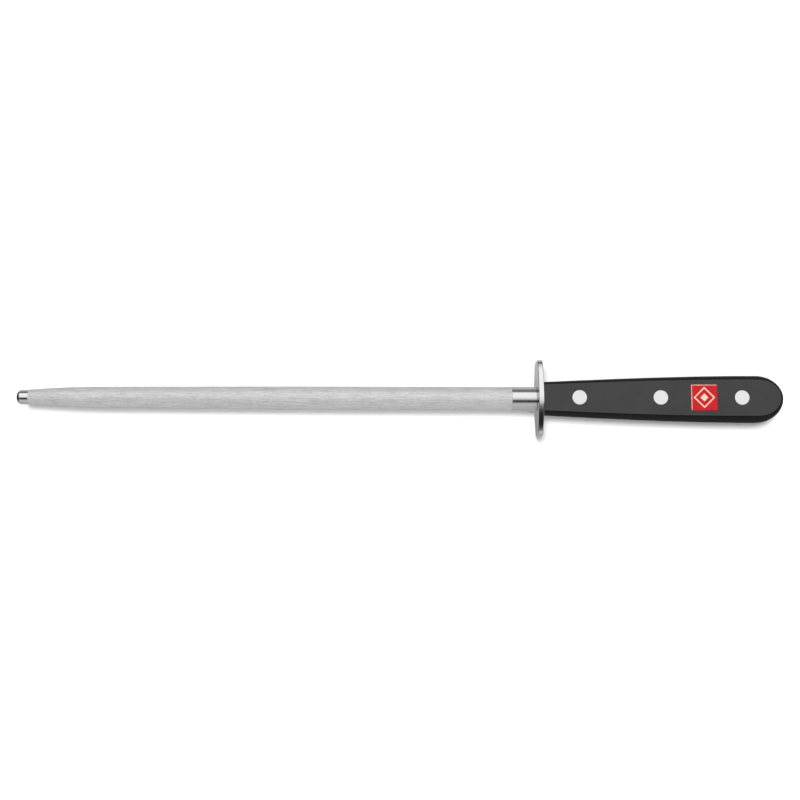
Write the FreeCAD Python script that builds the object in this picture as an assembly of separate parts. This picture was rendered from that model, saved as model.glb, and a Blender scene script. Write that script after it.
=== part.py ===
"""Knife sharpening steel: a round rod with a guard plate and a riveted handle in two scales.

Frame, in millimetres: the origin is where the rod's axis meets the guard's front face. The rod runs
along -X and the handle along +X, +Y is across the handle's width and +Z leaves its badge side.
"""
import FreeCAD, Part
import os
from math import asin, cos, degrees, hypot, pi, radians, sin, sqrt

from FreeCAD import Vector

X_AXIS = Vector(1, 0, 0)
Y_AXIS = Vector(0, 1, 0)
Z_AXIS = Vector(0, 0, 1)
ORIGIN = Vector(0, 0, 0)

# rod: lengths run from the guard's front face; the stations are (distance, radius) pairs
ROD_LENGTH = 260.0
ROD_RADIUS = 5.9
ROD_STATIONS = ((246.0, 4.4), (239.0, 4.82), (226.0, 5.25), (200.0, 5.48), (120.0, 5.8))
NOSE_END_RADIUS = 3.82
TIP_LENGTH = 6.0
TIP_RADIUS = 3.72
TIP_CORNER_RADIUS = 2.4
NECK_RADIUS = 4.5
SHANK_RADIUS = 4.0
SHANK_END_X = 15.0

# collar: a ring on the rod's neck, its end let into the guard
COLLAR_LENGTH = 12.6
COLLAR_RADIUS = 6.0
COLLAR_SPIGOT_RADIUS = 5.7
COLLAR_CHAMFER = 0.1

# guard: a flat oval, wider than it is deep, with a rounder middle and bowed flanks
GUARD_THICKNESS = 2.6
GUARD_WIDTH = 38.2
GUARD_DEPTH = 23.0
GUARD_MIDDLE_RADIUS = 20.0
GUARD_MIDDLE_TURN = radians(12)
GUARD_FLANK_RADIUS = 59.0
GUARD_CORNER_RADIUS = 4.0
GUARD_EDGE_RADIUS = 0.4
COUNTERBORE_DEPTH = 0.4
COUNTERBORE_RADIUS = 6.05

# handle: half widths along its length, and a butt rounded as half an ellipse
HANDLE_SLOPE_AT_GUARD = 0.047
HANDLE_HALF_WIDTHS = ((GUARD_THICKNESS, 8.35), (37.0, 9.95), (72.0, 11.2))
BUTT_START_X = 109.25
BUTT_HALF_WIDTH = 11.75
BUTT_LENGTH = 13.7
HALF_THICKNESS_AT_GUARD = 6.3
HALF_THICKNESS_AT_BUTT = 8.1
BELLY_RADIUS = 14.5
SCALE_EDGE_RADIUS = 0.9
SEAM_CHAMFER = 0.12  # along the line where the two scales meet

# tang: a flat bar in a pocket between the scales
TANG_THICKNESS = 3.0
TANG_HALF_WIDTH_AT_GUARD = 6.0
TANG_END_RADIUS = 7.0
TANG_END_X = 112.0

# cutler's rivets, each a pin pressed into a socket
RIVET_FIRST_X = 20.65
RIVET_SPACING = 40.1
RIVET_COUNT = 3
RIVET_HEAD_RADIUS = 3.6
RIVET_HEAD_HEIGHT = 2.2
RIVET_SOCKET_RADIUS = 2.4
RIVET_PIN_RADIUS = 1.6
RIVET_PIN_END_Z = -3.5
RIVET_BORE_END_Z = -4.0
RIVET_SOCKET_GAP = 0.5

# badge: a square plate that stands a little proud of the front scale, with an inlaid figure
BADGE_X = 82.15
BADGE_SIDE = 12.9
BADGE_DEPTH = 1.2
BADGE_PROUD = 0.3
BADGE_CORNER_RADIUS = 0.5
BADGE_EDGE_RADIUS = 0.25
EMBLEM_DEPTH = 0.4
EMBLEM_HALF_DIAGONAL = 5.3
EMBLEM_LINE = 0.62
EMBLEM_CENTRE_HALF_DIAGONAL = 2.0

# worked out
HANDLE_END_X = BUTT_START_X + BUTT_LENGTH
FACE_SLOPE = (HALF_THICKNESS_AT_BUTT - HALF_THICKNESS_AT_GUARD) / (HANDLE_END_X - GUARD_THICKNESS)
HALF_TANG = TANG_THICKNESS / 2
REACH = 30.0  # further than any outline extends from the axis


def face_height(x):
    """Height of the front scale's flat face above the handle's middle plane."""
    return HALF_THICKNESS_AT_GUARD + FACE_SLOPE * (x - GUARD_THICKNESS)


def cylinder_along_x(radius, start_x, end_x):
    return Part.makeCylinder(radius, end_x - start_x, Vector(start_x, 0, 0), X_AXIS)


def upright_cylinder(radius, x, low_z, high_z):
    return Part.makeCylinder(radius, high_z - low_z, Vector(x, 0, low_z), Z_AXIS)


def turned(edges):
    """Solid of revolution about the X axis from edges that start and end on the axis."""
    axis_line = Part.makeLine(edges[-1].lastVertex(True).Point, edges[0].firstVertex(True).Point)
    face = Part.Face(Part.Wire(edges + [axis_line]))
    return face.revolve(ORIGIN, X_AXIS, 360)


def below_front_face():
    """Everything between the handle's middle plane and the plane of the front scale's face."""
    start_x = GUARD_THICKNESS
    end_x = HANDLE_END_X + 1
    corners = [
        Vector(start_x, -REACH, 0),
        Vector(end_x, -REACH, 0),
        Vector(end_x, -REACH, face_height(end_x)),
        Vector(start_x, -REACH, face_height(start_x)),
    ]
    face = Part.Face(Part.makePolygon(corners + corners[:1]))
    return face.extrude(Vector(0, 2 * REACH, 0))


def handle_outline(z):
    """The handle's outline at height z: its sides belly out, so it shrinks away from the middle."""
    inset = BELLY_RADIUS - sqrt(BELLY_RADIUS**2 - z**2)
    butt_half_width = BUTT_HALF_WIDTH - inset
    butt_tip = Vector(HANDLE_END_X - inset, 0, z)
    points = [Vector(x, half_width - inset, z) for x, half_width in HANDLE_HALF_WIDTHS]
    points.append(Vector(BUTT_START_X, butt_half_width, z))
    first_slope = Vector(1, HANDLE_SLOPE_AT_GUARD, 0)
    side = Part.BSplineCurve()
    side.interpolate(Points=points, InitialTangent=first_slope, FinalTangent=X_AXIS)
    centre = Vector(BUTT_START_X, 0, z)
    butt = Part.Ellipse(butt_tip, centre + Vector(0, butt_half_width, 0), centre)
    quarter = Part.ArcOfEllipse(butt, 0, pi / 2)
    upper = [side.toShape(), quarter.toShape()]
    lower = [edge.mirror(ORIGIN, Y_AXIS) for edge in upper]
    front = Part.makeLine(Vector(points[0].x, -points[0].y, z), points[0])
    return Part.Wire(Part.__sortEdges__([front] + upper + lower))


def make_rod():
    """One bar: polished tip, nose and working length, then neck and shank, slotted for the tang."""
    nose_end_x = -ROD_LENGTH + TIP_LENGTH
    corner = TIP_CORNER_RADIUS
    tip_flat_radius = TIP_RADIUS - corner
    tip_start = Vector(-ROD_LENGTH, tip_flat_radius, 0)
    tip_side = Vector(-ROD_LENGTH + corner, TIP_RADIUS, 0)
    corner_middle = Vector(tip_side.x - corner * sin(pi / 4), tip_flat_radius + corner * cos(pi / 4), 0)
    working = Part.BSplineCurve()
    working.interpolate(
        [Vector(nose_end_x, NOSE_END_RADIUS, 0)]
        + [Vector(-distance, radius, 0) for distance, radius in ROD_STATIONS]
        + [Vector(-COLLAR_LENGTH, ROD_RADIUS, 0)]
    )
    neck_corners = [
        Vector(-COLLAR_LENGTH, ROD_RADIUS, 0),
        Vector(-COLLAR_LENGTH, NECK_RADIUS, 0),
        Vector(COUNTERBORE_DEPTH, NECK_RADIUS, 0),
        Vector(COUNTERBORE_DEPTH, SHANK_RADIUS, 0),
        Vector(SHANK_END_X, SHANK_RADIUS, 0),
        Vector(SHANK_END_X, 0, 0),
    ]
    bar = turned(
        [
            Part.makeLine(Vector(-ROD_LENGTH, 0, 0), tip_start),
            Part.Arc(tip_start, corner_middle, tip_side).toShape(),
            Part.makeLine(tip_side, Vector(nose_end_x, TIP_RADIUS, 0)),
            Part.makeLine(Vector(nose_end_x, TIP_RADIUS, 0), Vector(nose_end_x, NOSE_END_RADIUS, 0)),
            working.toShape(),
        ]
        + Part.makePolygon(neck_corners).Edges
    )
    slot = Part.makeBox(
        SHANK_END_X,
        2 * REACH,
        TANG_THICKNESS,
        Vector(GUARD_THICKNESS, -REACH, -HALF_TANG),
    )
    return bar.cut(slot)


def make_collar():
    """Ring with an eased front edge and a stepped end that sits in the guard's counterbore."""
    profile = [
        Vector(-COLLAR_LENGTH, NECK_RADIUS, 0),
        Vector(-COLLAR_LENGTH, COLLAR_RADIUS - COLLAR_CHAMFER, 0),
        Vector(-COLLAR_LENGTH + COLLAR_CHAMFER, COLLAR_RADIUS, 0),
        Vector(0, COLLAR_RADIUS, 0),
        Vector(0, COLLAR_SPIGOT_RADIUS, 0),
        Vector(COUNTERBORE_DEPTH, COLLAR_SPIGOT_RADIUS, 0),
        Vector(COUNTERBORE_DEPTH, NECK_RADIUS, 0),
    ]
    face = Part.Face(Part.makePolygon(profile + profile[:1]))
    return face.revolve(ORIGIN, X_AXIS, 360)


def guard_outline():
    """Each quarter turns through three tangent arcs, from the middle of a long side to a short end."""
    sin_middle = sin(GUARD_MIDDLE_TURN)
    sides_y = GUARD_WIDTH / 2 - GUARD_CORNER_RADIUS
    sides_y += (GUARD_FLANK_RADIUS - GUARD_MIDDLE_RADIUS) * sin_middle
    flank_turn = asin(sides_y / (GUARD_FLANK_RADIUS - GUARD_CORNER_RADIUS))
    arcs = (
        (GUARD_MIDDLE_RADIUS, 0, GUARD_MIDDLE_TURN),
        (GUARD_FLANK_RADIUS, GUARD_MIDDLE_TURN, flank_turn),
        (GUARD_CORNER_RADIUS, flank_turn, pi / 2),
    )
    quarter = []
    start = Vector(0, 0, GUARD_DEPTH / 2)
    for radius, first, last in arcs:
        centre = start - Vector(0, radius * sin(first), radius * cos(first))
        turns = (first, (first + last) / 2, last)
        points = [centre + Vector(0, radius * sin(turn), radius * cos(turn)) for turn in turns]
        quarter.append(Part.Arc(*points).toShape())
        start = points[-1]
    quarter.append(Part.makeLine(start, Vector(0, start.y, 0)))
    half = quarter + [edge.mirror(ORIGIN, Z_AXIS) for edge in quarter]
    whole = half + [edge.mirror(ORIGIN, Y_AXIS) for edge in half]
    return Part.Wire(Part.__sortEdges__(whole))


def make_guard():
    """Plate with eased edges, a hole for the shank and a counterbore for the collar."""
    plate = Part.Face(guard_outline()).extrude(Vector(GUARD_THICKNESS, 0, 0))
    rim = [edge for edge in plate.Edges if edge.BoundBox.XLength < 0.01]
    plate = plate.makeFillet(GUARD_EDGE_RADIUS, rim)
    plate = plate.cut(cylinder_along_x(SHANK_RADIUS, 0, GUARD_THICKNESS))
    return plate.cut(cylinder_along_x(COUNTERBORE_RADIUS, 0, COUNTERBORE_DEPTH))


def rivet_places():
    return [RIVET_FIRST_X + RIVET_SPACING * i for i in range(RIVET_COUNT)]


def tang_plate():
    """Flat bar that widens towards its round end."""
    start = Vector(GUARD_THICKNESS, TANG_HALF_WIDTH_AT_GUARD, -HALF_TANG)
    end = Vector(TANG_END_X - TANG_END_RADIUS, TANG_END_RADIUS, -HALF_TANG)
    start_below = Vector(start.x, -start.y, start.z)
    end_below = Vector(end.x, -end.y, end.z)
    tip = Vector(TANG_END_X, 0, -HALF_TANG)
    outline = [
        Part.makeLine(start, end),
        Part.Arc(end, tip, end_below).toShape(),
        Part.makeLine(end_below, start_below),
        Part.makeLine(start_below, start),
    ]
    return Part.Face(Part.Wire(outline)).extrude(Vector(0, 0, TANG_THICKNESS))


def make_tang():
    """The bar, drilled for the rivets."""
    plate = tang_plate()
    for x in rivet_places():
        plate = plate.cut(upright_cylinder(RIVET_SOCKET_RADIUS, x, -REACH, REACH))
    return plate


def scale_blank():
    """Front scale without its holes: bellied sides, a flat sloping face and eased edges."""
    heights = (0.0, 3.0, 6.0, HALF_THICKNESS_AT_BUTT + 0.5)
    blank = Part.makeLoft([handle_outline(z) for z in heights], True, False)
    blank = blank.common(below_front_face())
    face_edges = []
    seam_edges = []
    for edge in blank.Edges:
        behind_guard = edge.CenterOfMass.x > GUARD_THICKNESS + 0.01
        if behind_guard and all(abs(v.Z - face_height(v.X)) < 0.01 for v in edge.Vertexes):
            face_edges.append(edge)
        if behind_guard and all(abs(v.Z) < 0.01 for v in edge.Vertexes):
            seam_edges.append(edge)
    blank = blank.makeFillet(SCALE_EDGE_RADIUS, face_edges)
    return blank.makeChamfer(SEAM_CHAMFER, seam_edges)


def head_hole(x):
    return upright_cylinder(RIVET_HEAD_RADIUS, x, head_floor(x), REACH)


def head_floor(x):
    return face_height(x) - RIVET_HEAD_HEIGHT


def drilled_scale():
    """Blank with the tang's pocket, the groove for the rod's shank and the rivets' stepped holes."""
    scale = scale_blank().cut(tang_plate())
    scale = scale.cut(cylinder_along_x(SHANK_RADIUS, GUARD_THICKNESS, SHANK_END_X))
    for x in rivet_places():
        scale = scale.cut(upright_cylinder(RIVET_SOCKET_RADIUS, x, 0, REACH))
        scale = scale.cut(head_hole(x))
    return scale


def make_scale_front():
    return drilled_scale().cut(badge_block())


def make_scale_back():
    return drilled_scale().mirror(ORIGIN, Z_AXIS)


def rivet_head(x):
    """Round head on the front side, ground flush with the scale's sloping face."""
    return head_hole(x).common(below_front_face())


def make_rivet_pin(x):
    """Front half: a head with a plain pin."""
    pin = upright_cylinder(RIVET_PIN_RADIUS, x, RIVET_PIN_END_Z, head_floor(x) + 1)
    return rivet_head(x).fuse(pin).removeSplitter()


def make_rivet_socket(x):
    """Back half: a head with a tube that takes the pin."""
    head = rivet_head(x).mirror(ORIGIN, Z_AXIS)
    tube = upright_cylinder(RIVET_SOCKET_RADIUS, x, -head_floor(x) - 1, head_floor(x) - RIVET_SOCKET_GAP)
    bore = upright_cylinder(RIVET_PIN_RADIUS, x, RIVET_BORE_END_Z, REACH)
    return head.fuse(tube).cut(bore).removeSplitter()


def on_badge(shape):
    """Move a shape built on the XY plane to the badge's centre, lying along the sloping face."""
    tilt = degrees(asin(FACE_SLOPE / hypot(1, FACE_SLOPE)))
    shape.rotate(ORIGIN, Y_AXIS, -tilt)
    shape.translate(Vector(BADGE_X, 0, face_height(BADGE_X)))
    return shape


def badge_block():
    """Square block from the badge's floor to its top, with rounded corners."""
    half = BADGE_SIDE / 2
    block = Part.makeBox(
        BADGE_SIDE,
        BADGE_SIDE,
        BADGE_DEPTH + BADGE_PROUD,
        Vector(-half, -half, -BADGE_DEPTH),
    )
    corners = [edge for edge in block.Edges if edge.BoundBox.ZLength > BADGE_DEPTH]
    return on_badge(block.makeFillet(BADGE_CORNER_RADIUS, corners))


def diamond(half_diagonal):
    """Square block stood on its corner, as deep as the badge's figure."""
    corners = [
        Vector(half_diagonal, 0, BADGE_PROUD - EMBLEM_DEPTH),
        Vector(0, half_diagonal, BADGE_PROUD - EMBLEM_DEPTH),
        Vector(-half_diagonal, 0, BADGE_PROUD - EMBLEM_DEPTH),
        Vector(0, -half_diagonal, BADGE_PROUD - EMBLEM_DEPTH),
    ]
    face = Part.Face(Part.makePolygon(corners + corners[:1]))
    return face.extrude(Vector(0, 0, EMBLEM_DEPTH))


def make_badge_emblem():
    """Plain diamond in line, with a small solid diamond at its centre."""
    inner = EMBLEM_HALF_DIAGONAL - EMBLEM_LINE * sqrt(2)
    ring = diamond(EMBLEM_HALF_DIAGONAL).cut(diamond(inner))
    return on_badge(Part.makeCompound([ring, diamond(EMBLEM_CENTRE_HALF_DIAGONAL)]))


def make_badge_plate():
    """Red plate with its top edge eased and grooves for the figure."""
    plate = badge_block()
    highest = plate.BoundBox.ZMax - BADGE_PROUD / 2
    top_edges = [edge for edge in plate.Edges if edge.CenterOfMass.z > highest - BADGE_SIDE * FACE_SLOPE]
    plate = plate.makeFillet(BADGE_EDGE_RADIUS, top_edges)
    return plate.cut(make_badge_emblem())


def all_nodes():
    nodes = {
        "rod": make_rod(),
        "collar": make_collar(),
        "guard": make_guard(),
        "tang": make_tang(),
        "scale_front": make_scale_front(),
        "scale_back": make_scale_back(),
        "badge_plate": make_badge_plate(),
        "badge_emblem": make_badge_emblem(),
    }
    for number, x in enumerate(rivet_places(), start=1):
        nodes[f"rivet_{number}_pin"] = make_rivet_pin(x)
        nodes[f"rivet_{number}_socket"] = make_rivet_socket(x)
    return nodes


os.makedirs("parts", exist_ok=True)
for name, shape in all_nodes().items():
    shape.exportStep(f"parts/{name}.step")
    print(f"{name}: {len(shape.Solids)} solid(s), {shape.Volume:.1f} mm3, valid {shape.isValid()}")
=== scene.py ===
"""Looks of the knife sharpening steel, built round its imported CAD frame. Metres, row frame."""
from math import acos, asin, atan2, cos, pi, radians, sin, sqrt
from random import Random

import bmesh
import bpy
from mathutils import Matrix, Vector, noise
from mathutils.bvhtree import BVHTree


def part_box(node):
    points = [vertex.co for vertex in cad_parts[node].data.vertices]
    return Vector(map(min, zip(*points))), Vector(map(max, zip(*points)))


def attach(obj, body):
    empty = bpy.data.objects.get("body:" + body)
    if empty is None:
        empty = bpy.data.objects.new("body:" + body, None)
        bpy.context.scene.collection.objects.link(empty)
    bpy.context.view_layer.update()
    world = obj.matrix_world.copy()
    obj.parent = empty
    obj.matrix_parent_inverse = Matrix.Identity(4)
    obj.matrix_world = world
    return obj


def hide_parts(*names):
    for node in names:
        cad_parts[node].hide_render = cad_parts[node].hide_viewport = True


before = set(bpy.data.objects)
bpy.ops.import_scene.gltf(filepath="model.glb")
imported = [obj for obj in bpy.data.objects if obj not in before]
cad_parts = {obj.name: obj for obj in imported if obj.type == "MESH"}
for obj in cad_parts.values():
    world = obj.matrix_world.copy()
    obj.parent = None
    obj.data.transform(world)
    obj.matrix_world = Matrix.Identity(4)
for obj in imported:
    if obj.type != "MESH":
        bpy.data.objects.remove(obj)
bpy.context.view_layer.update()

MM = 0.001

# camera: looks down on the badge side, a little from the -Y side
VIEW_WIDTH = 400.8 * MM  # what the picture's width covers at the rod's axis
CAMERA_DISTANCE = 600 * MM
CAMERA_ELEVATION = radians(83)
CAMERA_ROLL = radians(0.19)
AXIS_ABOVE_CENTRE = 0.82 * MM  # how far above the picture's centre the rod's axis lies
ORIGIN_RIGHT_OF_CENTRE = 68.4 * MM  # how far right of the picture's centre the guard's front is
SENSOR_WIDTH = 36.0
CLIP_START = 10 * MM

# studio
FLOOR_SIZE = 6.0
STUDIO_STRENGTH = 1.6
STUDIO_SHARE_ON_DULL = 0.25  # how much of the surroundings lights what isn't glossy
STUDIO_STOPS = (  # (degrees round the rod's axis from straight up towards +Y, brightness)
    (-180, 0.33), (-166, 0.27), (-116, 0.36), (-88, 0.38), (-65, 0.43), (-54, 0.41), (-47, 0.34),
    (-43.5, 0.15), (-40, 0.025), (-37, 0.013), (-29, 0.012), (-26, 0.02), (-22, 0.06), (-18, 0.2),
    (-12, 0.49), (-3, 0.67), (5, 0.76), (15, 0.81), (53, 0.82), (59, 0.34), (66, 0.09), (80, 0.1),
    (93, 0.28), (109, 0.42), (131, 0.45), (165, 0.345), (172.7, 0.345), (173.3, 0.07), (173.9, 0.11),
    (174.6, 0.25), (176, 0.33),
)
DIM_FROM_X = -0.6  # the surroundings dim between these X parts of a direction, to this share
DIM_TO_X = -0.87
DIM_SHARE = 0.06
KEY_LIGHT = ((-0.13, 0.12, 1.0), radians(20), 3.0)  # direction, width, strength
FILL_LIGHT = ((0.0, -0.9, 0.6), radians(32), 1.5)
BACK_LIGHT = ((0.0, 0.9, 0.35), radians(40), 0.75)

# everything below is in millimetres
ROUND_SAMPLES = 128
PROBE_HEIGHT = 50
CREASE_ANGLE = radians(32)  # edges that turn by more than this are sharp
CUT_OVERSHOOT = 2  # how far a cutter stands out of the handle's face

# rod
RIB_COUNT = 96
RIB_PROFILE = (0.0, 0.35, 1.0, 0.35)
RIB_MEAN = 0.425
RIB_DEPTH = 0.07
RIB_SHALLOWEST = 0.5  # share of the full depth
RIB_WANDER = 0.5  # share of its depth by which a rib varies along the rod
RIB_WANDER_SCALE = (0.06, 0.37)  # per millimetre of length, and per rib
RIB_SEED = 7
ROD_RINGS = 90
ROD_END_MARGIN = 0.2  # how far from the ends of the ribs the rod's radius is measured
TIP_LENGTH = 6.0
TIP_RADIUS = 3.72
TIP_CORNER = 2.4
NECK_RADIUS = 4.5
SHANK_START_X = 0.4
SHANK_RADIUS = 4.0
SHANK_END_X = 15.0
HALF_TANG = 1.5

# collar and guard
COLLAR_RADIUS = 6.0
COLLAR_EASE = 0.1
COLLAR_SPIGOT_RADIUS = 5.7
COLLAR_SPIGOT_LENGTH = 0.38
COLLAR_GROOVE_X = -0.26
COLLAR_GROOVE_EASE = 0.04
COLLAR_GROOVE_RADIUS = 5.75
COLLAR_FLAT_INSET = 0.3  # how far from an eased edge the plain surface has its first ring
BORE_PLAY = 0.01
GUARD_THICKNESS = 2.6
GUARD_WIDTH = 38.2
GUARD_DEPTH = 23.0
GUARD_MIDDLE_RADIUS = 20.0
GUARD_MIDDLE_TURN = radians(12)
GUARD_FLANK_RADIUS = 59.0
GUARD_CORNER_RADIUS = 4.0
GUARD_EDGE_RADIUS = 0.4
GUARD_FLAT_INSET = 0.25
GUARD_HOLE_RADIUS = 4.02
GUARD_COUNTERBORE_DEPTH = 0.4
GUARD_COUNTERBORE_RADIUS = 6.05

# handle: (x, half width, slope) stations along its side
BUTT_X = 109.25
HANDLE_SIDE = (
    (GUARD_THICKNESS, 8.35, 0.047),
    (37.0, 9.95, 0.0431),
    (72.0, 11.2, 0.0272),
    (BUTT_X, 11.75, 0.0),
)
SIDE_SAMPLES = 60
BUTT_SAMPLES = 24
BUTT_LENGTH = 13.7
HALF_THICKNESS_AT_GUARD = 6.3
HALF_THICKNESS_AT_BUTT = 8.1
FACE_SLOPE = (HALF_THICKNESS_AT_BUTT - HALF_THICKNESS_AT_GUARD) / (BUTT_X + BUTT_LENGTH - GUARD_THICKNESS)
BELLY_RADIUS = 14.5
SCALE_EDGE_RADIUS = 0.9
SCALE_FLAT_INSET = 0.2
SEAM_EASE = 0.12
# the sides' copy of the plastic is darker and less reflective than the face's: painted shade along the
# handle's sides
FACE_FINISH_LIMIT = 0.99  # faces that point up less squarely than this have the sides' finish
RIVET_FIRST_X = 20.65
RIVET_SPACING = 40.1
RIVET_RADIUS = 3.6
RIVET_HEAD_HEIGHT = 2.2
RIVET_PROUD = 0.03
RIVET_EASE = 0.08
RIVET_PIN_RADIUS = 1.6
RIVET_PIN_END_Z = -3.5
RIVET_TUBE_RADIUS = 2.4
RIVET_TUBE_OVERLAP = 0.5
RIVET_BORE_RADIUS = 1.62
RIVET_BORE_END_Z = 4.0
RIVET_HOLE_PLAY = (0.02, 0.03)  # round the tube, and round the head
RIVET_HOLE_START_Z = -1
RIVET_SLOPED_DEPTH = 1  # how far below the handle's face a head starts to follow its slope
RIVET_CENTRE_RADIUS = 0.2  # radius of the flat that closes an end
RIVET_FLAT_INSET = 0.3

# badge
BADGE_X = 82.15
BADGE_SIDE = 12.9
BADGE_DEPTH = 1.2
BADGE_PROUD = 0.3
BADGE_CORNER_RADIUS = 0.5
BADGE_CORNER_TIGHTENING = 0.6  # share of the inset that the corners' radius loses
BADGE_EDGE_RADIUS = 0.25
BADGE_FLAT_INSET = 0.2
BADGE_PLAY = (0.03, 0.02)  # round the plate, and under it
# width of the pale band painted on the badge's left and top edges as a painted highlight
BADGE_HIGHLIGHT_WIDTH = 0.15  # past the rounded edge
EMBLEM_HALF_DIAGONAL = 5.3
EMBLEM_LINE = 0.62
EMBLEM_CENTRE_HALF_DIAGONAL = 2.0
EMBLEM_DEPTH = 0.2
EMBLEM_PROUD = 0.03


# ---------------------------------------------------------------- node helpers
class Shader:
    """A material's node tree round one Principled shader, with short ways to add nodes."""

    def __init__(self, name, colour, metallic, roughness, specular=0.5):
        self.material = bpy.data.materials.new(name)
        self.material.use_nodes = True
        self.tree = self.material.node_tree
        self.principled = self.tree.nodes["Principled BSDF"]
        self.set("Base Color", (*colour, 1))
        self.set("Metallic", metallic)
        self.set("Roughness", roughness)
        self.set("Specular IOR Level", specular)
        self.place = self.node("ShaderNodeTexCoord").outputs["Object"]

    def set(self, socket, value):
        self.principled.inputs[socket].default_value = value

    def node(self, kind, **settings):
        made = self.tree.nodes.new(kind)
        for key, value in settings.items():
            setattr(made, key, value)
        return made

    def link(self, source, target):
        self.tree.links.new(source, target)

    def drive(self, source, socket):
        self.link(source, self.principled.inputs[socket])

    def stretched(self, scale):
        """The object's coordinates, multiplied by scale along each axis."""
        mapping = self.node("ShaderNodeMapping", vector_type="POINT")
        mapping.inputs["Scale"].default_value = scale
        self.link(self.place, mapping.inputs["Vector"])
        return mapping.outputs["Vector"]

    def noise(self, scale, detail=3.0, roughness=0.55):
        """Noise from 0 to 1 whose features are 1 / scale metres long along each axis."""
        texture = self.node("ShaderNodeTexNoise")
        texture.inputs["Scale"].default_value = 1.0
        texture.inputs["Detail"].default_value = detail
        texture.inputs["Roughness"].default_value = roughness
        self.link(self.stretched(scale), texture.inputs["Vector"])
        return texture.outputs["Fac"]

    def remap(self, source, low, high, from_low=0.3, from_high=0.7):
        """source, usually a noise, brought from its usual range to low..high."""
        mapped = self.node("ShaderNodeMapRange")
        self.link(source, mapped.inputs["Value"])
        mapped.inputs["From Min"].default_value = from_low
        mapped.inputs["From Max"].default_value = from_high
        mapped.inputs["To Min"].default_value = low
        mapped.inputs["To Max"].default_value = high
        return mapped.outputs["Result"]

    def ramp(self, source, *stops):
        """Colour ramp through (position, colour) stops."""
        made = self.node("ShaderNodeValToRGB")
        elements = made.color_ramp.elements
        while len(elements) < len(stops):
            elements.new(0.5)
        for element, (position, colour) in zip(elements, stops):
            element.position = position
            element.color = (*colour, 1)
        self.link(source, made.inputs["Fac"])
        return made.outputs["Color"]

    def math(self, operation, first, second):
        made = self.node("ShaderNodeMath", operation=operation)
        for socket, value in zip(made.inputs, (first, second)):
            if isinstance(value, (int, float)):
                socket.default_value = value
            else:
                self.link(value, socket)
        return made.outputs["Value"]

    def bump(self, height, distance, strength=1.0, after=None):
        made = self.node("ShaderNodeBump")
        made.inputs["Strength"].default_value = strength
        made.inputs["Distance"].default_value = distance
        self.link(height, made.inputs["Height"])
        if after is not None:
            self.link(after, made.inputs["Normal"])
        return made.outputs["Normal"]


def grey(value):
    return (value, value, value)


# ---------------------------------------------------------------- materials
def ribbed_steel():
    """Satin steel: short light and dark streaks along the rod, as ground ribs have."""
    shader = Shader("ribbed_steel", grey(0.62), 0.75, 0.6)
    streaks = shader.noise((130, 2300, 2300), 2.0, 0.5)
    patches = shader.noise((500, 2300, 2300), 2.0)
    mixed = shader.math("ADD", shader.math("MULTIPLY", streaks, 0.6), shader.math("MULTIPLY", patches, 0.4))
    stops = ((0.36, (0.54, 0.54, 0.542)), (0.5, (0.67, 0.67, 0.671)), (0.64, (0.8, 0.8, 0.8)))
    shader.drive(shader.ramp(mixed, *stops), "Base Color")
    shader.drive(shader.remap(streaks, 0.52, 0.68), "Roughness")
    shader.drive(shader.bump(shader.noise((120, 6000, 6000), 2.0), 0.012 * MM), "Normal")
    return shader.material


def polished_steel(name, sharpest, dullest):
    """Mirror-like steel with faint hairlines and finger marks."""
    shader = Shader(name, grey(0.66), 1.0, sharpest)
    hairlines = shader.noise((900, 9000, 9000), 2.0)
    smears = shader.noise((140, 140, 140), 3.0)
    mixed = shader.math("ADD", shader.math("MULTIPLY", hairlines, 0.5), shader.math("MULTIPLY", smears, 0.5))
    shader.drive(shader.remap(mixed, sharpest, dullest), "Roughness")
    shader.drive(shader.bump(hairlines, 0.002 * MM), "Normal")
    return shader.material


def tang_steel():
    """Flat bar hidden between the scales, brushed along the handle."""
    shader = Shader("tang_steel", grey(0.48), 1.0, 0.3)
    lines = shader.noise((120, 5000, 5000), 3.0)
    shader.drive(shader.ramp(lines, (0.35, grey(0.4)), (0.65, grey(0.55))), "Base Color")
    shader.drive(shader.remap(lines, 0.24, 0.42), "Roughness")
    shader.drive(shader.bump(lines, 0.008 * MM), "Normal")
    return shader.material


def rivet_steel():
    """Rivet heads, ground flush with the scales in the handle's direction."""
    shader = Shader("rivet_steel", grey(0.72), 1.0, 0.32)
    lines = shader.noise((300, 7000, 3000), 3.0)
    shader.drive(shader.ramp(lines, (0.3, grey(0.66)), (0.7, grey(0.78))), "Base Color")
    shader.drive(shader.remap(lines, 0.26, 0.4), "Roughness")
    shader.drive(shader.bump(lines, 0.006 * MM), "Normal")
    return shader.material


def black_plastic(name, base, specular, roughness):
    """Dense moulded plastic: a fine grain with long faint marks."""
    shader = Shader(name, grey(base), 0.0, roughness, specular)
    grain = shader.noise((3500, 3500, 3500), 3.0)
    marks = shader.noise((150, 2600, 2600), 3.0)
    wear_and_painted_highlight = shader.noise((60, 90, 90), 3.0)
    shader.drive(shader.ramp(wear_and_painted_highlight, (0.35, grey(base * 0.85)), (0.65, grey(base * 1.15))), "Base Color")
    mixed = shader.math("ADD", shader.math("MULTIPLY", marks, 0.5), shader.math("MULTIPLY", wear_and_painted_highlight, 0.5))
    shader.drive(shader.remap(mixed, roughness - 0.08, roughness + 0.08), "Roughness")
    bumped = shader.bump(grain, 0.012 * MM)
    shader.drive(shader.bump(marks, 0.006 * MM, after=bumped), "Normal")
    return shader.material


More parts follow.
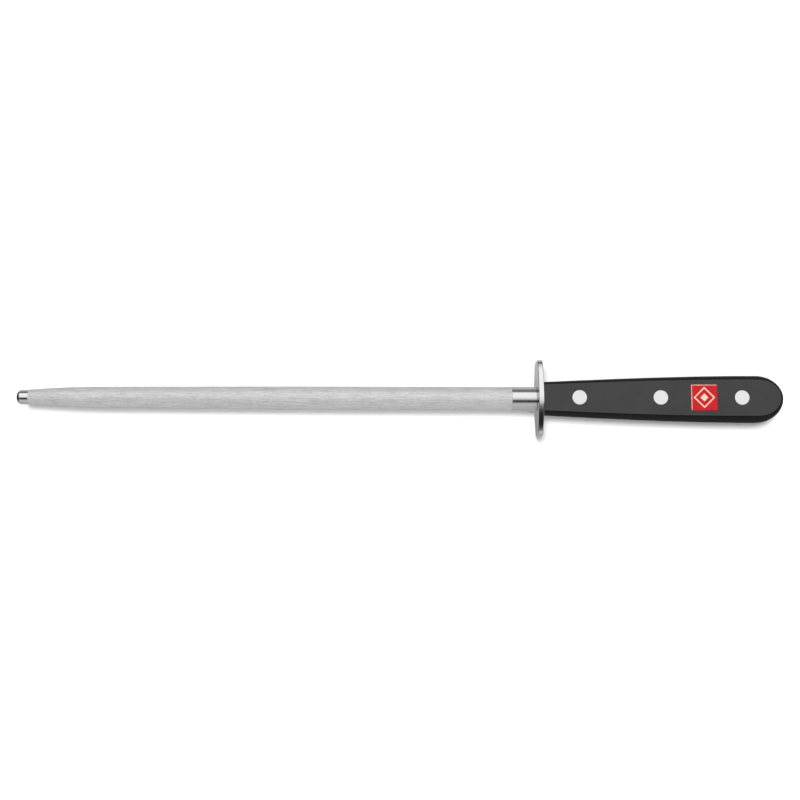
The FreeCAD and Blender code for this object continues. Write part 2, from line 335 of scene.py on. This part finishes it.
def badge_red():
    """Glossy red enamel with a slight orange peel."""
    shader = Shader("badge_red", (0.36, 0.004, 0.01), 0.0, 0.22, 0.25)
    cloud = shader.noise((350, 350, 350), 3.0)
    shader.drive(shader.ramp(cloud, (0.3, (0.38, 0.003, 0.008)), (0.7, (0.46, 0.005, 0.012))), "Base Color")
    shader.drive(shader.remap(cloud, 0.16, 0.28), "Roughness")
    shader.drive(shader.bump(shader.noise((1200, 1200, 1200), 2.0), 0.006 * MM), "Normal")
    return shader.material


def badge_painted_highlight():
    """Pale pink painted on the enamel's left and top edges: a painted highlight where those edges would catch
    the light.
    """
    shader = Shader("badge_painted_highlight", (0.5, 0.2, 0.16), 0.0, 0.3)
    cloud = shader.noise((900, 900, 900), 3.0)
    shader.drive(shader.ramp(cloud, (0.3, (0.55, 0.2, 0.17)), (0.7, (0.72, 0.42, 0.34))), "Base Color")
    shader.drive(shader.remap(cloud, 0.24, 0.36), "Roughness")
    return shader.material


def badge_cream():
    """Warm white enamel of the inlaid figure."""
    shader = Shader("badge_cream", (0.5, 0.4, 0.29), 0.0, 0.3, 0.3)
    cloud = shader.noise((900, 900, 900), 3.0)
    shader.drive(shader.ramp(cloud, (0.3, (0.57, 0.45, 0.32)), (0.7, (0.67, 0.55, 0.42))), "Base Color")
    shader.drive(shader.remap(cloud, 0.24, 0.36), "Roughness")
    return shader.material


def floor_white():
    """Matt white paper."""
    return Shader("floor_white", grey(0.88), 0.0, 0.9, 0.0).material


# ---------------------------------------------------------------- mesh helpers, in millimetres
def crease(mesh):
    """Mark every edge that turns by more than the crease angle as sharp."""
    bmesh.ops.recalc_face_normals(mesh, faces=mesh.faces)
    for edge in mesh.edges:
        if len(edge.link_faces) == 2 and edge.calc_face_angle() > CREASE_ANGLE:
            edge.smooth = False


def piece(name, mesh, materials, node):
    """Turn a bmesh in millimetres into a smooth-shaded piece that stands for a CAD node."""
    bmesh.ops.scale(mesh, vec=(MM, MM, MM), verts=mesh.verts)
    bmesh.ops.recalc_face_normals(mesh, faces=mesh.faces)
    for face in mesh.faces:
        face.smooth = True
    data = bpy.data.meshes.new(name)
    mesh.to_mesh(data)
    mesh.free()
    for material in materials:
        data.materials.append(material)
    made = bpy.data.objects.new(name, data)
    bpy.context.scene.collection.objects.link(made)
    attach(made, "root")
    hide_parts(node)
    return made


def skin(mesh, first, second, closed=True):
    """Quads between two rows of vertices of the same length."""
    faces = []
    for i in range(len(first) if closed else len(first) - 1):
        j = (i + 1) % len(first)
        faces.append(mesh.faces.new((first[i], first[j], second[j], second[i])))
    return faces


def skin_all(mesh, rows, closed=True):
    faces = []
    for first, second in zip(rows, rows[1:]):
        faces += skin(mesh, first, second, closed)
    return faces


def row_of(mesh, points):
    return [mesh.verts.new(point) for point in points]


def circle_x(x, radius, samples=ROUND_SAMPLES):
    """Points of a circle round the X axis."""
    turns = [2 * pi * i / samples for i in range(samples)]
    return [(x, radius * cos(turn), radius * sin(turn)) for turn in turns]


def arc_points(centre, radius, first, last, steps):
    """(a, b) points on an arc, angles measured from the a axis towards the b axis."""
    turns = [first + (last - first) * i / steps for i in range(steps + 1)]
    return [(centre[0] + radius * cos(turn), centre[1] + radius * sin(turn)) for turn in turns]


def top_of(node):
    """Function of x that gives the height of a CAD node's top over the X axis."""
    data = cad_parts[node].data
    tree = BVHTree.FromPolygons([v.co for v in data.vertices], [p.vertices for p in data.polygons])

    def height(x):
        start = Vector((x, 0, PROBE_HEIGHT)) * MM
        place = tree.ray_cast(start, Vector((0, 0, -1)))[0]
        return (place / MM).z

    return height


# ---------------------------------------------------------------- rod
def rib_radii(radius, x, depths):
    """Radii round the rod at x, dipped between the ribs by a depth that wanders along them."""
    radii = []
    for rib, depth in enumerate(depths):
        wander = noise.noise((x * RIB_WANDER_SCALE[0], rib * RIB_WANDER_SCALE[1], 0.0))
        for share in RIB_PROFILE:
            radii.append(radius + depth * (RIB_MEAN - share) * (1 + RIB_WANDER * wander))
    return radii


def make_rod(rib_material, polish_material):
    """Ribbed working length with its narrowing nose and polished tip, then the neck and the shank."""
    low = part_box("rod")[0].x / MM
    collar_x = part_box("collar")[0].x / MM
    rod_radius = top_of("rod")
    nose_x = low + TIP_LENGTH
    random = Random(RIB_SEED)
    depths = [RIB_DEPTH * random.uniform(RIB_SHALLOWEST, 1.0) for _ in range(RIB_COUNT)]
    samples = RIB_COUNT * len(RIB_PROFILE)
    mesh = bmesh.new()
    ribbed = []
    for i in range(ROD_RINGS):
        x = nose_x + (collar_x - nose_x) * i / (ROD_RINGS - 1)
        radius = rod_radius(min(max(x, nose_x + ROD_END_MARGIN), collar_x - ROD_END_MARGIN))
        radii = rib_radii(radius, x, depths)
        turns = [2 * pi * j / samples for j in range(samples)]
        ribbed.append(row_of(mesh, [(x, r * cos(t), r * sin(t)) for r, t in zip(radii, turns)]))
    skin_all(mesh, ribbed)
    corner = arc_points((low + TIP_CORNER, TIP_RADIUS - TIP_CORNER), TIP_CORNER, pi / 2, pi, 12)
    tip = [row_of(mesh, circle_x(x, radius, samples)) for x, radius in [(nose_x, TIP_RADIUS)] + corner]
    polished = skin(mesh, ribbed[0], tip[0]) + skin_all(mesh, tip) + [mesh.faces.new(tip[-1])]
    neck = ((collar_x, NECK_RADIUS), (SHANK_START_X, NECK_RADIUS))
    profile = (*neck, (SHANK_START_X, SHANK_RADIUS), (GUARD_THICKNESS, SHANK_RADIUS))
    shank = [row_of(mesh, circle_x(x, radius, samples)) for x, radius in profile]
    skin(mesh, ribbed[-1], shank[0])
    skin_all(mesh, shank)
    mesh.faces.new(shank[-1])
    for side in (1, -1):
        add_fork_cheek(mesh, side)
    for face in polished:
        face.material_index = 1
    for row in [ribbed[0], tip[0], ribbed[-1], *shank]:
        for first, second in zip(row, row[1:] + row[:1]):
            mesh.edges.get((first, second)).smooth = False
    piece("sharpening_rod", mesh, (rib_material, polish_material), "rod")


def add_fork_cheek(mesh, side):
    """One cheek of the forked shank, on one side of the tang."""
    half_turn = acos(HALF_TANG / SHANK_RADIUS)
    points = arc_points((0, 0), SHANK_RADIUS, pi / 2 - half_turn, pi / 2 + half_turn, 16)
    ends = [row_of(mesh, [(x, y, side * z) for y, z in points]) for x in (GUARD_THICKNESS, SHANK_END_X)]
    for face in skin(mesh, *ends) + [mesh.faces.new(end) for end in ends]:
        for edge in face.edges:
            lengthwise = abs(edge.verts[0].co.x - edge.verts[1].co.x) > 1
            edge.smooth = edge.smooth and lengthwise


# ---------------------------------------------------------------- collar and guard
def make_collar(material):
    """Ring with eased ends, a fine groove where it meets the guard and a spigot let into it."""
    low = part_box("collar")[0].x / MM
    bore = NECK_RADIUS + BORE_PLAY
    ease = arc_points((low + COLLAR_EASE, COLLAR_RADIUS - COLLAR_EASE), COLLAR_EASE, pi, pi / 2, 4)
    flat_x = low + COLLAR_EASE + COLLAR_FLAT_INSET
    lip_x = COLLAR_GROOVE_X - COLLAR_GROOVE_EASE
    plain = [(x, COLLAR_RADIUS) for x in (flat_x, lip_x - COLLAR_FLAT_INSET, lip_x)]
    profile = [(low, bore), *ease, *plain, (COLLAR_GROOVE_X, COLLAR_RADIUS - COLLAR_GROOVE_EASE)]
    profile += [(COLLAR_GROOVE_X, COLLAR_GROOVE_RADIUS), (0, COLLAR_SPIGOT_RADIUS)]
    profile += [(COLLAR_SPIGOT_LENGTH, COLLAR_SPIGOT_RADIUS), (COLLAR_SPIGOT_LENGTH, bore)]
    mesh = bmesh.new()
    rows = [row_of(mesh, circle_x(x, radius)) for x, radius in profile]
    skin_all(mesh, rows + rows[:1])
    crease(mesh)
    piece("collar_ring", mesh, (material,), "collar")


def guard_outline(inset):
    """(y, z) points round the guard's outline, moved inwards by inset."""
    sides_y = GUARD_WIDTH / 2 - GUARD_CORNER_RADIUS
    sides_y += (GUARD_FLANK_RADIUS - GUARD_MIDDLE_RADIUS) * sin(GUARD_MIDDLE_TURN)
    flank_turn = asin(sides_y / (GUARD_FLANK_RADIUS - GUARD_CORNER_RADIUS))
    arcs = (
        (GUARD_MIDDLE_RADIUS, 0, GUARD_MIDDLE_TURN, 12),
        (GUARD_FLANK_RADIUS, GUARD_MIDDLE_TURN, flank_turn, 20),
        (GUARD_CORNER_RADIUS, flank_turn, pi / 2, 16),
    )
    quarter = []
    start = (0, GUARD_DEPTH / 2)
    for radius, first, last, steps in arcs:
        centre = (start[0] - radius * sin(first), start[1] - radius * cos(first))
        turns = [first + (last - first) * i / steps for i in range(steps + 1)]
        reach = radius - inset
        quarter += [(centre[0] + reach * sin(turn), centre[1] + reach * cos(turn)) for turn in turns[:-1]]
        start = (centre[0] + radius * sin(last), centre[1] + radius * cos(last))
    side_y = GUARD_WIDTH / 2 - inset
    quarter += [(side_y, start[1] * i / 4) for i in range(4, 0, -1)]
    half = quarter + [(side_y, 0)] + [(y, -z) for y, z in reversed(quarter[1:])] + [(0, -quarter[0][1])]
    return half + [(-y, z) for y, z in reversed(half[1:-1])]


def make_guard(material):
    """Flat blunt-ended plate with rounded edges, a counterbore for the collar and a hole for the shank."""
    ease = GUARD_EDGE_RADIUS
    front = arc_points((ease, ease), ease, pi, 3 * pi / 2, 6)
    back = [(GUARD_THICKNESS - x, inset) for x, inset in reversed(front)]
    flat = ease + GUARD_FLAT_INSET
    stations = [(0, flat), *front, *back, (GUARD_THICKNESS, flat)]
    mesh = bmesh.new()
    outer = [row_of(mesh, [(x, y, z) for y, z in guard_outline(inset)]) for x, inset in stations]
    turns = [atan2(z, y) for y, z in guard_outline(0)]
    hole, counterbore = GUARD_HOLE_RADIUS, GUARD_COUNTERBORE_RADIUS
    step_x = GUARD_COUNTERBORE_DEPTH
    holes = ((GUARD_THICKNESS, hole), (step_x, hole), (step_x, counterbore), (0, counterbore))
    inner = [row_of(mesh, [(x, r * cos(t), r * sin(t)) for t in turns]) for x, r in holes]
    rows = outer + inner
    skin_all(mesh, rows + rows[:1])
    crease(mesh)
    piece("guard_plate", mesh, (material,), "guard")


# ---------------------------------------------------------------- handle
def face_height(x):
    """Height of the front scale's flat face at x."""
    return HALF_THICKNESS_AT_GUARD + FACE_SLOPE * (x - GUARD_THICKNESS)


def side_half_width(x):
    """Half width of the handle at x: a smooth curve through the stations with their slopes."""
    for (x0, y0, slope0), (x1, y1, slope1) in zip(HANDLE_SIDE, HANDLE_SIDE[1:]):
        if x <= x1:
            break
    length = x1 - x0
    t = (x - x0) / length
    rise = y0 * (1 + 2 * t) * (1 - t) ** 2 + y1 * t * t * (3 - 2 * t)
    return rise + length * (slope0 * t * (1 - t) ** 2 - slope1 * t * t * (1 - t))


def half_outline_point(i, inset):
    """(x, y) of one of the points from the guard along the +Y side to the middle of the butt."""
    start_x, butt_x = HANDLE_SIDE[0][0], HANDLE_SIDE[-1][0]
    if i < SIDE_SAMPLES:
        x = start_x + (butt_x - start_x) * i / SIDE_SAMPLES
        return x, side_half_width(x) - inset
    turn = pi / 2 * (i - SIDE_SAMPLES) / BUTT_SAMPLES
    length, width = BUTT_LENGTH - inset, HANDLE_SIDE[-1][1] - inset
    return butt_x + length * sin(turn), width * cos(turn)


def section(height):
    """(inset, z) points up a scale's side where its face is at height: seam, belly, rounded edge."""
    rise = height - SCALE_EDGE_RADIUS
    reach = BELLY_RADIUS - SCALE_EDGE_RADIUS
    tangent = asin(rise / reach)
    centre = (-BELLY_RADIUS + sqrt(reach**2 - rise**2), rise)
    belly = arc_points((-BELLY_RADIUS, 0), BELLY_RADIUS, asin(SEAM_EASE / BELLY_RADIUS), tangent, 10)
    edge = arc_points(centre, SCALE_EDGE_RADIUS, tangent, pi / 2, 10)
    points = [(-SEAM_EASE, 0.0)] + belly + edge[1:] + [(edge[-1][0] - SCALE_FLAT_INSET, height)]
    return [(-out, z) for out, z in points]


def scale_mesh():
    """Front scale as a closed solid."""
    nominal = [half_outline_point(i, 0)[0] for i in range(SIDE_SAMPLES + BUTT_SAMPLES + 1)]
    sections = [section(face_height(x)) for x in nominal]
    mesh = bmesh.new()
    rows = []
    for level in range(len(sections[0])):
        half = []
        for i, profile in enumerate(sections):
            inset, z = profile[level]
            x, y = half_outline_point(i, inset)
            z += FACE_SLOPE * (x - nominal[i]) * z / face_height(nominal[i])
            half.append((x, y, z))
        whole = half + [(x, -y, z) for x, y, z in reversed(half[:-1])]
        rows.append(row_of(mesh, whole))
    skin_all(mesh, rows, closed=False)
    last = len(rows[0]) - 1
    for row in (rows[0], rows[-1]):
        for i in range(last // 2 - 1):
            mesh.faces.new((row[i], row[i + 1], row[last - i - 1], row[last - i]))
        middle = last // 2
        mesh.faces.new((row[middle - 1], row[middle], row[middle + 1]))
    mesh.faces.new([row[0] for row in rows] + [row[-1] for row in reversed(rows)])
    return mesh


def upright(mesh, x, profile, samples=ROUND_SAMPLES, sloped=False):
    """Skin turned round the vertical through x from (radius, z) points; its top may follow the face."""
    rows = []
    for radius, z in profile:
        points = []
        for i in range(samples):
            turn = 2 * pi * i / samples
            dx = radius * cos(turn)
            rise = FACE_SLOPE * dx if sloped and z > face_height(x) - RIVET_SLOPED_DEPTH else 0
            points.append((x + dx, radius * sin(turn), z + rise))
        rows.append(row_of(mesh, points))
    skin_all(mesh, rows)
    return rows


def cutter_object(build):
    """Throwaway object, in millimetres, for cutting a hole."""
    mesh = bmesh.new()
    build(mesh)
    bmesh.ops.recalc_face_normals(mesh, faces=mesh.faces)
    data = bpy.data.meshes.new("cutter")
    mesh.to_mesh(data)
    mesh.free()
    made = bpy.data.objects.new("cutter", data)
    bpy.context.scene.collection.objects.link(made)
    return made


def rivet_places():
    return [RIVET_FIRST_X + RIVET_SPACING * i for i in range(3)]


def cut_rivet_hole(mesh, x):
    """Stepped hole for a rivet's tube and head, cut through a scale."""
    floor = face_height(x) - RIVET_HEAD_HEIGHT
    tube, head = RIVET_TUBE_RADIUS + RIVET_HOLE_PLAY[0], RIVET_RADIUS + RIVET_HOLE_PLAY[1]
    top = face_height(x) + CUT_OVERSHOOT
    profile = ((tube, RIVET_HOLE_START_Z), (tube, floor), (head, floor), (head, top))
    rows = upright(mesh, x, profile, ROUND_SAMPLES // 2)
    mesh.faces.new(rows[0])
    mesh.faces.new(rows[-1])


def badge_solid(mesh, grow, levels):
    """Solid on the badge's outline, grown sideways, through (height over the face, inset) levels."""
    half = BADGE_SIDE / 2 + grow
    rows = []
    for height, inset in levels:
        corner = BADGE_CORNER_RADIUS - inset * BADGE_CORNER_TIGHTENING
        side = half - inset - corner
        points = []
        for quarter in range(4):
            turn = quarter * pi / 2
            cx, cy = side * cos(turn) - side * sin(turn), side * sin(turn) + side * cos(turn)
            for px, py in arc_points((cx, cy), corner, turn, turn + pi / 2, 5):
                points.append((BADGE_X + px, py, face_height(BADGE_X + px) + height))
        rows.append(row_of(mesh, points))
    skin_all(mesh, rows)
    mesh.faces.new(rows[0])
    mesh.faces.new(rows[-1])


def hollowed(mesh, builders):
    """The mesh with each builder's solid cut out of it."""
    data = bpy.data.meshes.new("blank")
    bmesh.ops.recalc_face_normals(mesh, faces=mesh.faces)
    mesh.to_mesh(data)
    mesh.free()
    blank = bpy.data.objects.new("blank", data)
    bpy.context.scene.collection.objects.link(blank)
    cutters = [cutter_object(build) for build in builders]
    for cutter in cutters:
        modifier = blank.modifiers.new("cut", "BOOLEAN")
        modifier.operation = "DIFFERENCE"
        modifier.solver = "EXACT"
        modifier.object = cutter
    bpy.context.view_layer.update()
    evaluated = blank.evaluated_get(bpy.context.evaluated_depsgraph_get())
    result = bmesh.new()
    result.from_mesh(evaluated.to_mesh())
    evaluated.to_mesh_clear()
    for made in cutters + [blank]:
        bpy.data.objects.remove(made)
    return result


def make_scales(face_material, shaded_side_material):
    """Both scales, their flat faces buffed and their sides given a duller, darker copy of the plastic: partly
    a duller finish, partly painted shade.
    """
    holes = [lambda mesh, x=x: cut_rivet_hole(mesh, x) for x in rivet_places()]
    recess = [lambda mesh: badge_solid(mesh, BADGE_PLAY[0], ((-BADGE_DEPTH, 0), (CUT_OVERSHOOT, 0)))]
    for name, node, builders, side in (
        ("handle_scale_front", "scale_front", holes + recess, 1),
        ("handle_scale_back", "scale_back", holes, -1),
    ):
        mesh = hollowed(scale_mesh(), builders)
        mesh.normal_update()
        for face in mesh.faces:
            on_side = abs(face.normal.z) < FACE_FINISH_LIMIT
            face.material_index = int(on_side or face.calc_center_median().z < 1)
        bmesh.ops.scale(mesh, vec=(1, 1, side), verts=mesh.verts)
        crease(mesh)
        piece(name, mesh, (face_material, shaded_side_material), node)


def make_rivets(material):
    """Each rivet's pin half, with its head in the front scale, and socket half, with its head in the back."""
    for number, x in enumerate(rivet_places(), start=1):
        top = face_height(x) + RIVET_PROUD
        floor = face_height(x) - RIVET_HEAD_HEIGHT
        ease = RIVET_EASE
        head = [(RIVET_RADIUS, floor), *arc_points((RIVET_RADIUS - ease, top - ease), ease, 0, pi / 2, 4)]
        head += [(RIVET_RADIUS - RIVET_FLAT_INSET, top), (RIVET_CENTRE_RADIUS, top)]
        pin = [(radius, RIVET_PIN_END_Z) for radius in (RIVET_CENTRE_RADIUS, RIVET_PIN_RADIUS)]
        pin.append((RIVET_PIN_RADIUS, floor))
        mesh = bmesh.new()
        rows = upright(mesh, x, pin + head, sloped=True)
        mesh.faces.new(rows[0])
        mesh.faces.new(rows[-1])
        crease(mesh)
        piece(f"rivet_{number}_pin_half", mesh, (material,), f"rivet_{number}_pin")
        tube_end = RIVET_TUBE_OVERLAP - floor
        tube = [(RIVET_BORE_RADIUS, tube_end), (RIVET_TUBE_RADIUS, tube_end), (RIVET_TUBE_RADIUS, floor)]
        mesh = bmesh.new()
        rows = upright(mesh, x, tube + head, sloped=True)
        bore_end = [(radius, RIVET_BORE_END_Z) for radius in (RIVET_BORE_RADIUS, RIVET_CENTRE_RADIUS)]
        bore = upright(mesh, x, bore_end)
        skin(mesh, rows[0], bore[0])
        mesh.faces.new(bore[-1])
        mesh.faces.new(rows[-1])
        bmesh.ops.scale(mesh, vec=(1, 1, -1), verts=mesh.verts)
        crease(mesh)
        piece(f"rivet_{number}_socket_half", mesh, (material,), f"rivet_{number}_socket")


def make_badge(red, wear_and_painted_highlight, cream):
    """Square plate with eased edges, painted pale on two sides as a highlight, and the inlaid diamonds."""
    ease = BADGE_EDGE_RADIUS
    bevel = [(BADGE_PROUD - ease + z, ease - out) for out, z in arc_points((0, 0), ease, 0, pi / 2, 5)]
    mesh = bmesh.new()
    flat = ease + BADGE_FLAT_INSET
    badge_solid(mesh, 0, [(-BADGE_DEPTH + BADGE_PLAY[1], 0), *bevel, (BADGE_PROUD, flat)])
    # faces on the left and top edges get the pale material: a painted highlight where light from the upper
    # left would catch them
    for face in mesh.faces:
        centre = face.calc_center_median()
        beside = max(BADGE_X - centre.x, centre.y)
        on_lit_edge = beside > BADGE_SIDE / 2 - ease - BADGE_HIGHLIGHT_WIDTH
        if on_lit_edge and len(face.verts) == 4:
            face.material_index = 1
    crease(mesh)
    piece("badge_tile", mesh, (red, wear_and_painted_highlight), "badge_plate")
    mesh = bmesh.new()
    inner = EMBLEM_HALF_DIAGONAL - EMBLEM_LINE * sqrt(2)
    for outer, hole in ((EMBLEM_HALF_DIAGONAL, inner), (EMBLEM_CENTRE_HALF_DIAGONAL, 0)):
        add_diamond(mesh, outer, hole)
    crease(mesh)
    piece("badge_figure", mesh, (cream,), "badge_emblem")


def add_diamond(mesh, outer, hole):
    """Square stood on its corner, with an opening of the same shape unless hole is 0."""
    low, high, ease = BADGE_PROUD - EMBLEM_DEPTH, BADGE_PROUD + EMBLEM_PROUD, EMBLEM_PROUD

    def corners(reach, height):
        flat = ((reach, 0), (0, reach), (-reach, 0), (0, -reach))
        return row_of(mesh, [(BADGE_X + x, y, face_height(BADGE_X + x) + height) for x, y in flat])

    rows = [corners(outer, low), corners(outer, high - ease), corners(outer - ease, high)]
    if hole:
        rows += [corners(hole + ease, high), corners(hole, high - ease), corners(hole, low)]
        skin_all(mesh, rows + rows[:1])
    else:
        skin_all(mesh, rows)
        mesh.faces.new(rows[0])
        mesh.faces.new(rows[-1])


# ---------------------------------------------------------------- studio
def make_floor(material):
    """Level white floor under the guard's lowest edge."""
    mesh = bmesh.new()
    bmesh.ops.create_grid(mesh, x_segments=1, y_segments=1, size=FLOOR_SIZE / 2)
    data = bpy.data.meshes.new("floor")
    mesh.to_mesh(data)
    mesh.free()
    data.materials.append(material)
    made = bpy.data.objects.new("floor", data)
    bpy.context.scene.collection.objects.link(made)
    made.location.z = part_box("guard")[0].z
    made.visible_glossy = False


def make_world():
    """Studio surroundings that change with the angle round the rod's axis: a broad soft light overhead,
    dark just on the camera's side of it and at the far horizon, grey elsewhere, dark beyond the tip."""
    world = bpy.data.worlds.new("studio")
    world.use_nodes = True
    bpy.context.scene.world = world
    tree = world.node_tree
    nodes, links = tree.nodes, tree.links
    background = nodes["Background"]
    place = nodes.new("ShaderNodeTexCoord")
    parts = nodes.new("ShaderNodeSeparateXYZ")
    links.new(place.outputs["Generated"], parts.inputs["Vector"])
    angle = nodes.new("ShaderNodeMath")
    angle.operation = "ARCTAN2"
    links.new(parts.outputs["Y"], angle.inputs[0])
    links.new(parts.outputs["Z"], angle.inputs[1])
    turn = nodes.new("ShaderNodeMapRange")
    turn.inputs["From Min"].default_value = -pi
    turn.inputs["From Max"].default_value = pi
    links.new(angle.outputs["Value"], turn.inputs["Value"])
    ramp = nodes.new("ShaderNodeValToRGB")
    elements = ramp.color_ramp.elements
    while len(elements) < len(STUDIO_STOPS):
        elements.new(0.5)
    for element, (degrees_round, level) in zip(elements, STUDIO_STOPS):
        element.position = (degrees_round + 180) / 360
        element.color = (*grey(level), 1)
    links.new(turn.outputs["Result"], ramp.inputs["Fac"])
    beyond_tip = nodes.new("ShaderNodeMapRange")
    beyond_tip.inputs["From Min"].default_value = DIM_TO_X
    beyond_tip.inputs["From Max"].default_value = DIM_FROM_X
    beyond_tip.inputs["To Min"].default_value = DIM_SHARE
    links.new(parts.outputs["X"], beyond_tip.inputs["Value"])
    dimmed = nodes.new("ShaderNodeVectorMath")
    dimmed.operation = "SCALE"
    links.new(ramp.outputs["Color"], dimmed.inputs[0])
    links.new(beyond_tip.outputs["Result"], dimmed.inputs["Scale"])
    links.new(dimmed.outputs["Vector"], background.inputs["Color"])
    seen = nodes.new("ShaderNodeLightPath")
    strength = nodes.new("ShaderNodeMapRange")
    strength.inputs["To Min"].default_value = STUDIO_STRENGTH * STUDIO_SHARE_ON_DULL
    strength.inputs["To Max"].default_value = STUDIO_STRENGTH
    links.new(seen.outputs["Is Glossy Ray"], strength.inputs["Value"])
    links.new(strength.outputs["Result"], background.inputs["Strength"])
    plain = nodes.new("ShaderNodeBackground")
    plain.inputs["Color"].default_value = (1, 1, 1, 1)
    mix = nodes.new("ShaderNodeMixShader")
    links.new(seen.outputs["Is Camera Ray"], mix.inputs["Fac"])
    links.new(background.outputs["Background"], mix.inputs[1])
    links.new(plain.outputs["Background"], mix.inputs[2])
    links.new(mix.outputs["Shader"], nodes["World Output"].inputs["Surface"])


def make_light(name, direction, width, strength):
    """Wide distant light that comes from a direction, left out of the steel's reflections."""
    light = bpy.data.lights.new(name, "SUN")
    light.angle = width
    light.energy = strength
    made = bpy.data.objects.new(name, light)
    bpy.context.scene.collection.objects.link(made)
    made.location = direction
    made.rotation_euler = (-Vector(direction)).to_track_quat("-Z", "Y").to_euler()
    made.visible_glossy = False


def make_camera():
    back = Vector((0, -cos(CAMERA_ELEVATION), sin(CAMERA_ELEVATION)))
    upwards = Vector((0, sin(CAMERA_ELEVATION), cos(CAMERA_ELEVATION)))
    target = Vector((-ORIGIN_RIGHT_OF_CENTRE, 0, 0)) - upwards * AXIS_ABOVE_CENTRE
    data = bpy.data.cameras.new("camera")
    data.sensor_width = SENSOR_WIDTH
    data.lens = SENSOR_WIDTH * CAMERA_DISTANCE / VIEW_WIDTH
    data.clip_start = CLIP_START
    made = bpy.data.objects.new("camera", data)
    bpy.context.scene.collection.objects.link(made)
    made.location = target + back * CAMERA_DISTANCE
    facing = (-back).to_track_quat("-Z", "Y")
    made.rotation_mode = "QUATERNION"
    made.rotation_quaternion = facing @ Matrix.Rotation(CAMERA_ROLL, 3, "Z").to_quaternion()
    bpy.context.scene.camera = made


def paint(material, *names):
    """Give CAD nodes that stay a finished material."""
    for name in names:
        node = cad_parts[name]
        node.data.materials.clear()
        node.data.materials.append(material)


def main():
    polish = polished_steel("polished_steel", 0.05, 0.14)
    make_rod(ribbed_steel(), polish)
    make_collar(polished_steel("polished_steel_collar", 0.17, 0.24))
    make_guard(polish)
    paint(tang_steel(), "tang")
    buffed = black_plastic("black_plastic", 0.023, 0.4, 0.45)
    # a third of the face's base colour and little reflection: painted shade on the handle's sides, besides a
    # duller finish
    dull_shaded = black_plastic("black_plastic_painted_shade", 0.007, 0.05, 0.55)
    make_scales(buffed, dull_shaded)
    make_rivets(rivet_steel())
    make_badge(badge_red(), badge_painted_highlight(), badge_cream())
    make_floor(floor_white())
    make_world()
    make_light("key", *KEY_LIGHT)
    make_light("fill", *FILL_LIGHT)
    make_light("back", *BACK_LIGHT)
    make_camera()
    bpy.context.scene.view_settings.view_transform = "Standard"


main()
